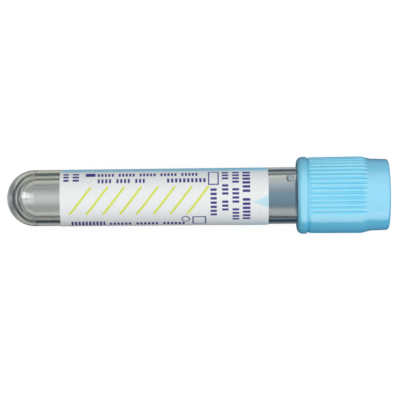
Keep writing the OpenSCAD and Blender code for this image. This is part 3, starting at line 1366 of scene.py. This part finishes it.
@dataclass
class Shield(Made):
    """The safety shield: beaded skirt, ribbed grip, shoulder, and collar round the needle port."""

    body, node, slot = Body.CLOSURE, "shield", "shield_plastic"

    skirt_z: float = 65.35
    bead_top: float = 67.75
    grip_z: float = 68.2
    shoulder_z: float = 79.4
    collar_z: float = 82.4
    top_z: float = 86.1
    skirt_in_r: float = 7.05
    bead_r: float = 8.69
    bead_round: float = 1.3
    neck_r: float = 8.39
    neck_step: float = 0.3
    grip_low_r: float = 8.58
    grip_top_r: float = 8.68
    shoulder_in: float = 0.56
    collar_top_r: float = 8.02
    collar_round: float = 0.7
    port_r: float = 5.3
    roof_z: float = 83.2
    room_r: float = 6.0
    ledge_r: float = 4.75
    ledge_low: float = 76.82
    ledge_high: float = 78.28
    skirt_edge: float = 0.3
    port_edge: float = 0.4
    places: int = 46
    grooves: int = 17
    first_groove: float = 28.0
    groove_r: float = 8.29
    per_place: int = 10
    groove_half: tuple[float, ...] = (0.0, 0.03, 0.115, 0.27)
    crown_drop: tuple[float, ...] = (0.0, 0.0, 0.05, 0.022, 0.006)
    # Depths below the crown, in millimetres, over which the painted groove shade comes in.
    relief: Point = (0.03, 0.19)

    def drop_in(self, share: float) -> float:
        """How far the shoulder has drawn in, at a share of its run."""
        return self.shoulder_in * (1 - math.cos(math.pi * share)) / 2

    def outside(self) -> list[Corner]:
        """The outline's outer side, from the skirt's edge up to the collar's end.

        Returns:
            The corners in order.
        """
        low = self.grip_low_r
        run = self.collar_z - self.shoulder_z
        shoulder = [
            Corner(self.grip_top_r - self.drop_in(t), self.shoulder_z + run * t)
            for t in (i / 14 for i in range(15))
        ]
        bead, collar = self.bead_round, self.collar_round
        return [
            Corner(self.skirt_in_r + self.skirt_edge, self.skirt_z, 0.1),
            *arc((self.bead_r - bead, self.skirt_z + bead), bead, -90, 0, 12),
            Corner(self.bead_r, self.bead_top - self.neck_step, 0.12),
            Corner(self.neck_r, self.bead_top, 0.12),
            Corner(self.neck_r, self.grip_z, 0.04),
            Corner(low - 0.06, self.grip_z),
            Corner(low - 0.015, self.grip_z + 0.05),
            Corner(low, self.grip_z + 0.14),
            *rows(low + 0.01, self.grip_z + 1, self.grip_top_r - 0.005, self.shoulder_z - 0.6, 4),
            *shoulder,
            *arc((self.collar_top_r - collar, self.top_z - collar), collar, 0, 90, 8),
        ]

    def inside(self) -> list[Corner]:
        """The outline's inner side, from the port down to the skirt's edge.

        Returns:
            The corners in order.
        """
        low = self.skirt_z + self.skirt_edge
        return [
            Corner(self.port_r + self.port_edge, self.top_z, 0.1),
            Corner(self.port_r, self.top_z - self.port_edge, 0.1),
            Corner(self.port_r, self.roof_z, 0.1),
            Corner(self.room_r, self.roof_z),
            Corner(self.room_r, self.ledge_high),
            Corner(self.ledge_r, self.ledge_high, 0.1),
            Corner(self.ledge_r, self.ledge_low, 0.1),
            Corner(self.skirt_in_r, self.ledge_low),
            *rows(self.skirt_in_r, 75, self.skirt_in_r, low, 4)[:-1],
            Corner(self.skirt_in_r, low, 0.1),
        ]

    def build(self) -> list[Part]:
        """Makes the shield: one ribbed place repeated, then the plain panel, then both again.

        Returns:
            The finished piece, the only one of its list.
        """
        finish = MouldedCap()
        pitch = 360.0 / self.places
        outline = soften([*self.outside(), *self.inside()], closed=True)
        start, columns = self.first_groove - pitch / 2, self.per_place
        ribs = Bench.turn("shield_shell", outline, columns, True, start, pitch)
        self.cut_groove(ribs, outline)
        bpy.ops.mesh.select_all(action="SELECT")
        Bench.spin(-pitch * (self.grooves - 1), self.grooves - 1, copies=True)
        plain = self.places // 2 - self.grooves
        start, columns = self.first_groove + pitch / 2, self.per_place * plain
        panel = Bench.turn("shield_panel", outline, columns, True, start, pitch * plain)
        Bench.clear()
        ribs.select_set(True)
        panel.select_set(True)
        bpy.context.view_layer.objects.active = ribs
        bpy.ops.object.join()
        bpy.ops.object.mode_set(mode="EDIT")
        bpy.ops.mesh.select_all(action="SELECT")
        Bench.spin(180.0, 1, copies=True)
        Bench.close()
        Bench.mark(ribs, finish.relief, self.depth)
        return [self.dress(ribs, finish.make())]

    def depth(self, p: Vector) -> float:
        """How deep a place lies in a groove or in the neck, which sets how much painted groove
        shade it takes.

        Args:
            p: A place on the shield.

        Returns:
            From 0 on a crown to 1.
        """
        if not self.bead_top - 0.35 < p.z < self.collar_z or p.xy.length < self.room_r + 1.5:
            return 0.0
        rise = max(0.0, (p.z - self.shoulder_z) / (self.collar_z - self.shoulder_z))
        crown = self.grip_low_r + (self.grip_top_r - self.grip_low_r) * min(
            1.0, (p.z - self.grip_z) / (self.shoulder_z - self.grip_z)
        )
        crown -= self.drop_in(rise)
        low, high = self.relief
        return min(1.0, max(0.0, (crown - p.xy.length - low) / (high - low)))

    def cut_groove(self, piece: Piece, outline: Sequence[Point]) -> None:
        """Presses the groove into the one ribbed place and rounds the rib beside it.

        Args:
            piece: The place in edit mode, one pitch wide with the groove in its middle.
            outline: The outline that it was turned from.
        """
        step = 360.0 / self.places / self.per_place
        start, stop = self.bead_top + 0.1, self.collar_z
        for r, z in outline:
            if not start < z < stop or r < self.groove_r:
                continue
            for k in range(self.per_place // 2):
                wanted = r - self.crown_drop[k] if z > self.grip_z - 0.01 else r
                if k < len(self.groove_half):
                    wanted = min(wanted, self.groove_r + self.groove_half[k])
                if wanted > r - 0.001:
                    continue

                def here(p: Vector) -> bool:
                    """Whether a place is in either of the two such columns, at this height."""
                    off = abs(angle(p) - self.first_groove) - k * step
                    near = abs(p.z - z) < 0.002 and abs(p.xy.length - r) < 0.004
                    return near and abs(off) < step / 4

                if Bench.select(piece, here):
                    Bench.swell(wanted / r)


# ---- The studio ----


class Sky(Nodes):
    """The surround under construction, with a background for each kind of ray."""

    def __init__(self, name: str) -> None:
        """Starts a world and hangs it in the scene.

        Args:
            name: The world's name.
        """
        world = bpy.data.worlds.new(name)
        bpy.context.scene.world = world
        super().__init__(world)
        self.out = self.nodes.new("ShaderNodeOutputWorld")
        self.way = self.add("TexCoord", out="Generated")
        self.height = self.split(self.way)[2]

    def rise(self, high: float, low_colour: Colour, high_colour: Colour) -> Socket:
        """A background from one colour at the horizon to another from a height up, at most 1."""
        share = self.ramp(self.height, 0.02, high, smooth=False)
        return self.add("Background", {"Color": self.mix(share, low_colour, high_colour)})

    def choose(self, share: Socket, otherwise: Socket, then: Socket) -> Socket:
        """One background, with a second in its place where a share is 1."""
        return self.add("MixShader", {0: share, 1: otherwise, 2: then})

    def spark(self, shown: Socket, way: Point3, edge: Point, power: float) -> Socket:
        """A background with a bright place in it.

        Args:
            shown: The background.
            way: Direction of the place.
            edge: Cosines of the half angles where it starts and where it is fully lit.
            power: Its brightness.

        Returns:
            The background with the place.
        """
        both = {0: self.way, 1: Vector(way).normalized()}
        cosine = self.add("VectorMath", both, "Value", operation="DOT_PRODUCT")
        lit = self.add("Background", {"Color": (1.0, 1.0, 1.0), "Strength": power})
        return self.choose(self.ramp(cosine, *edge, smooth=False), shown, lit)


@dataclass(frozen=True)
class Lamp:
    """A soft rectangular lamp that faces the tube, with sizes in metres."""

    name: str
    place: Point3
    size: Point
    watts: float
    colour: Colour = (1.0, 1.0, 1.0)

    def hang(self) -> Piece:
        """Hangs the lamp.

        Returns:
            The lamp.
        """
        Bench.clear()
        bpy.ops.object.light_add(type="AREA", location=self.place)
        lamp = bpy.context.object
        Bench.name(lamp, self.name)
        lamp.data.shape = "RECTANGLE"
        lamp.data.size, lamp.data.size_y = self.size
        lamp.data.energy = self.watts
        lamp.data.color = self.colour
        lamp.rotation_euler = (-Vector(self.place)).to_track_quat("-Z", "Y").to_euler()
        return lamp


class Floor(Tree):
    """The floor's finish: white where it is seen, and painted for other rays: bands of light and
    shadow for rays through the tube, a blue glow and a reflection by the shield, and a dark ground.

    The painted bands run along the tube. They change from the label's end of the shield on.
    """

    shield_from: float = 0.0
    shield_to: float = 0.010

    def __init__(self) -> None:
        """Starts the finish and finds the place on the floor."""
        super().__init__("floor_white")
        self.along, self.across, _ = self.split(self.place())
        self.beside = self.math("ABSOLUTE", self.across)
        self.see = self.rays()

    def ends(self, label: Value = 0.0, shield: Value = 1.0) -> Socket:
        """A number beside the label's tube that becomes another at the shield's end."""
        return self.ramp(self.along, self.shield_from, self.shield_to, label, shield)

    def painted_light_bands(self) -> Socket:
        """How bright the floor is painted for rays through the tube: two side bands and a core of
        painted light, with painted shadow between them.

        Returns:
            The brightness, from 0 to 1.
        """
        beside, across = self.beside, self.across
        # Painted light and shadow: the side bands, the bright core under the tube and the darker
        # strips between them.
        side = self.times(
            self.ramp(beside, self.ends(0.0045, 0.0), self.ends(0.009, 0.005)),
            self.ramp(beside, 0.0112, 0.0132, 1.0, 0.0),
        )
        level = self.ramp(across, -0.004, 0.004, self.ends(0.38, 0.16), self.ends(0.47, 0.55))
        by_shield = self.ends(0.38, self.ramp(across, 0.0, 0.002, 0.26, 0.52))
        painted_caustic_core = self.ramp(beside, 0.0, 0.003, self.ends(0.86, 0.42), by_shield)
        painted_caustic_core = self.times(painted_caustic_core, self.ramp(beside, 0.006, 0.0105, 1.0, 0.0))
        painted_caustic_core = self.times(painted_caustic_core, self.ramp(self.along, -0.0450, -0.0425, 0.32, 1.0))
        far = self.most(
            self.ramp(beside, 0.0185, 0.032, 0.0, 0.8),
            self.ramp(self.math("ABSOLUTE", self.along), 0.058, 0.085, 0.0, 0.8),
        )
        near = self.most(self.times(side, level), painted_caustic_core)
        return self.math("ADD", near, far, clamp=True)

    def tint(self) -> Socket:
        """The colour of the floor's painted light: warm at the label's end, and a painted blue
        bounce by the shield, which diffuse rays also see as a blue glow.

        Returns:
            The colour.
        """
        painted_warm_light = self.mix(self.ramp(self.beside, 0.002, 0.007), (1.0, 1.0, 0.93), (1.0, 0.98, 0.76))
        painted_blue_bounce = self.mix(self.ramp(self.across, 0.0, 0.0015), (0.36, 0.72, 1.0), (0.70, 0.87, 1.0))
        painted_blue_bounce = self.mix(self.ramp(self.beside, 0.0025, 0.006), painted_blue_bounce, (1.0, 0.97, 0.88))
        tint = self.mix(self.ends(), painted_warm_light, painted_blue_bounce)
        # Painted glow: diffuse rays see the floor glow blue, as if lit through the shield.
        tint = self.mix(self.see["Is Diffuse Ray"], tint, (0.05, 0.55, 1.0))
        return self.mix(self.see["Is Camera Ray"], tint, (1.0, 1.0, 1.0))

    def make(self) -> Material:
        """Builds the material.

        Returns:
            The material.
        """
        # Painted reflection and glow: glossy rays see the floor brighter towards the lit side, and
        # diffuse rays by the shield see it glow, lighting the shield's shaded flank.
        levels = {
            "Is Glossy Ray": self.ramp(self.across, 0.0, 0.04, 0.03, 0.35),
            "Is Transmission Ray": self.painted_light_bands(),
            "Is Diffuse Ray": self.times(
                self.ramp(self.along, 0.014, 0.024), self.ramp(self.beside, 0.02, 0.10, 1.6, 0.0)
            ),
        }
        seen = self.times(self.see["Is Camera Ray"], 0.89)
        for ray, level in levels.items():
            seen = self.math("MULTIPLY_ADD", self.see[ray], level, seen)
        # Painted shade: rays other than the camera's see a dark ground, bluer by the shield.
        painted_ground_shade = self.mix(self.ends(), (0.07, 0.085, 0.11), (0.02, 0.06, 0.10))
        self.set(
            Base_Color=self.mix(self.see["Is Camera Ray"], painted_ground_shade, (0.15, 0.15, 0.15)),
            Roughness=0.9,
            Specular_IOR_Level=0.0,
            Emission_Color=self.tint(),
            Emission_Strength=seen,
        )
        return self.material


@dataclass
class Studio:
    """A plain pale floor, soft lamps, a white surround and the camera."""

    distance: float = 505.0
    aim_along: float = 43.56
    aim_below: float = 0.81
    roll: float = 0.62
    field: float = 10.23
    sensor: float = 36.0
    floor_side: float = 3.0
    overhead: Lamp = Lamp("overhead", (0.03, 0.10, 0.80), (1.3, 1.0), 5.4, (1.0, 0.995, 0.985))
    side: Lamp = Lamp("side", (-0.52, 0.14, 0.42), (0.26, 0.26), 1.0)
    card: Lamp = Lamp("card", (0.0, -0.80, 0.26), (1.8, 0.50), 1.2)

    def world(self) -> None:
        """Makes the surround: white where it is seen, and softer in gloss and as light."""
        sky = Sky("surround")
        white = sky.rise(1.0, (1.0, 1.0, 1.0), (1.0, 1.0, 1.0))
        through = sky.rise(0.3, (1.0, 1.0, 1.0), (0.26, 0.27, 0.28))
        through = sky.spark(through, (-0.6, 0.05, 0.75), (0.86, 1.0), 1.0)
        through = sky.spark(through, (-0.78, -0.28, 0.58), (0.982, 0.992), 3.5)
        shown = sky.rise(0.75, (0.33, 0.35, 0.365), (0.58, 0.59, 0.595))
        gloss = sky.rise(0.60, (0.45, 0.46, 0.47), (0.98, 0.98, 0.98))
        rays = sky.rays()
        for ray, then in (("Glossy", gloss), ("Transmission", through), ("Camera", white)):
            shown = sky.choose(rays[f"Is {ray} Ray"], shown, then)
        sky.put(sky.out.inputs["Surface"], shown)

    def floor(self) -> None:
        """Makes the floor, which looks white where it is seen and still takes the shadow."""
        Bench.clear()
        bpy.ops.mesh.primitive_plane_add(size=self.floor_side, location=(0, 0, 0))
        floor = bpy.context.object
        Bench.name(floor, "floor")
        floor.data.materials.append(Floor().make())

    @staticmethod
    def only(lamp: Piece, pieces: Iterable[Piece]) -> None:
        """Lets a lamp light some pieces only.

        Args:
            lamp: The lamp.
            pieces: The pieces that it lights.
        """
        group = bpy.data.collections.new(lamp.name + "_lights")
        for piece in pieces:
            group.objects.link(piece)
        lamp.light_linking.receiver_collection = group

    def lamps(self, parts: Iterable[Part]) -> None:
        """Hangs a broad lamp overhead towards the lit side, and weak ones that give gloss.

        Args:
            parts: The finished pieces. The side lamp lights those on the tube only.
        """
        overhead = self.overhead.hang()
        overhead.visible_glossy = overhead.visible_transmission = False
        side = self.side.hang()
        side.visible_diffuse = False
        self.only(side, [part.piece for part in parts if part.body is Body.TUBE])
        self.card.hang()

    def camera(self, lay: Lay) -> None:
        """Hangs the camera over the tube, square to its axis.

        Args:
            lay: Where the tube lies.
        """
        roll = math.radians(self.roll)
        across = Vector((0, 1, 0))
        right = lay.axis * math.cos(roll) - across * math.sin(roll)
        up = lay.axis * math.sin(roll) + across * math.cos(roll)
        back = right.cross(up)
        aim = lay.pole + lay.axis * self.aim_along * MM - up * self.aim_below * MM
        data = bpy.data.cameras.new("camera")
        data.sensor_width = self.sensor
        data.lens = self.sensor / 2 / math.tan(math.radians(self.field) / 2)
        camera = bpy.data.objects.new("camera", data)
        bpy.context.scene.collection.objects.link(camera)
        turn = Matrix((right, up, back)).transposed().to_4x4()
        camera.matrix_world = Matrix.Translation(aim + back * self.distance * MM) @ turn
        bpy.context.scene.camera = camera

    def build(self, lay: Lay, parts: Sequence[Part]) -> None:
        """Sets the studio up.

        Args:
            lay: Where the tube lies.
            parts: The finished pieces.
        """
        self.world()
        self.floor()
        self.lamps(parts)
        self.camera(lay)
        bpy.context.scene.view_settings.view_transform = "Standard"


def main() -> None:
    """Builds the pieces in order, fits each to its body, and sets up the studio."""
    logging.basicConfig(level=logging.INFO, format="%(message)s")
    lay = Lay.from_frame()
    outer = OuterTube(lay)
    inner = InnerTube(lay, outer)
    tube = [outer, inner, Solution(lay, inner), Label(lay, outer)]
    parts = [part for made in [*tube, Stopper(lay), Shield(lay)] for part in made.build()]
    for part in parts:
        part.fit()
    Studio().build(lay, parts)


if __name__ == "__main__":
    main()
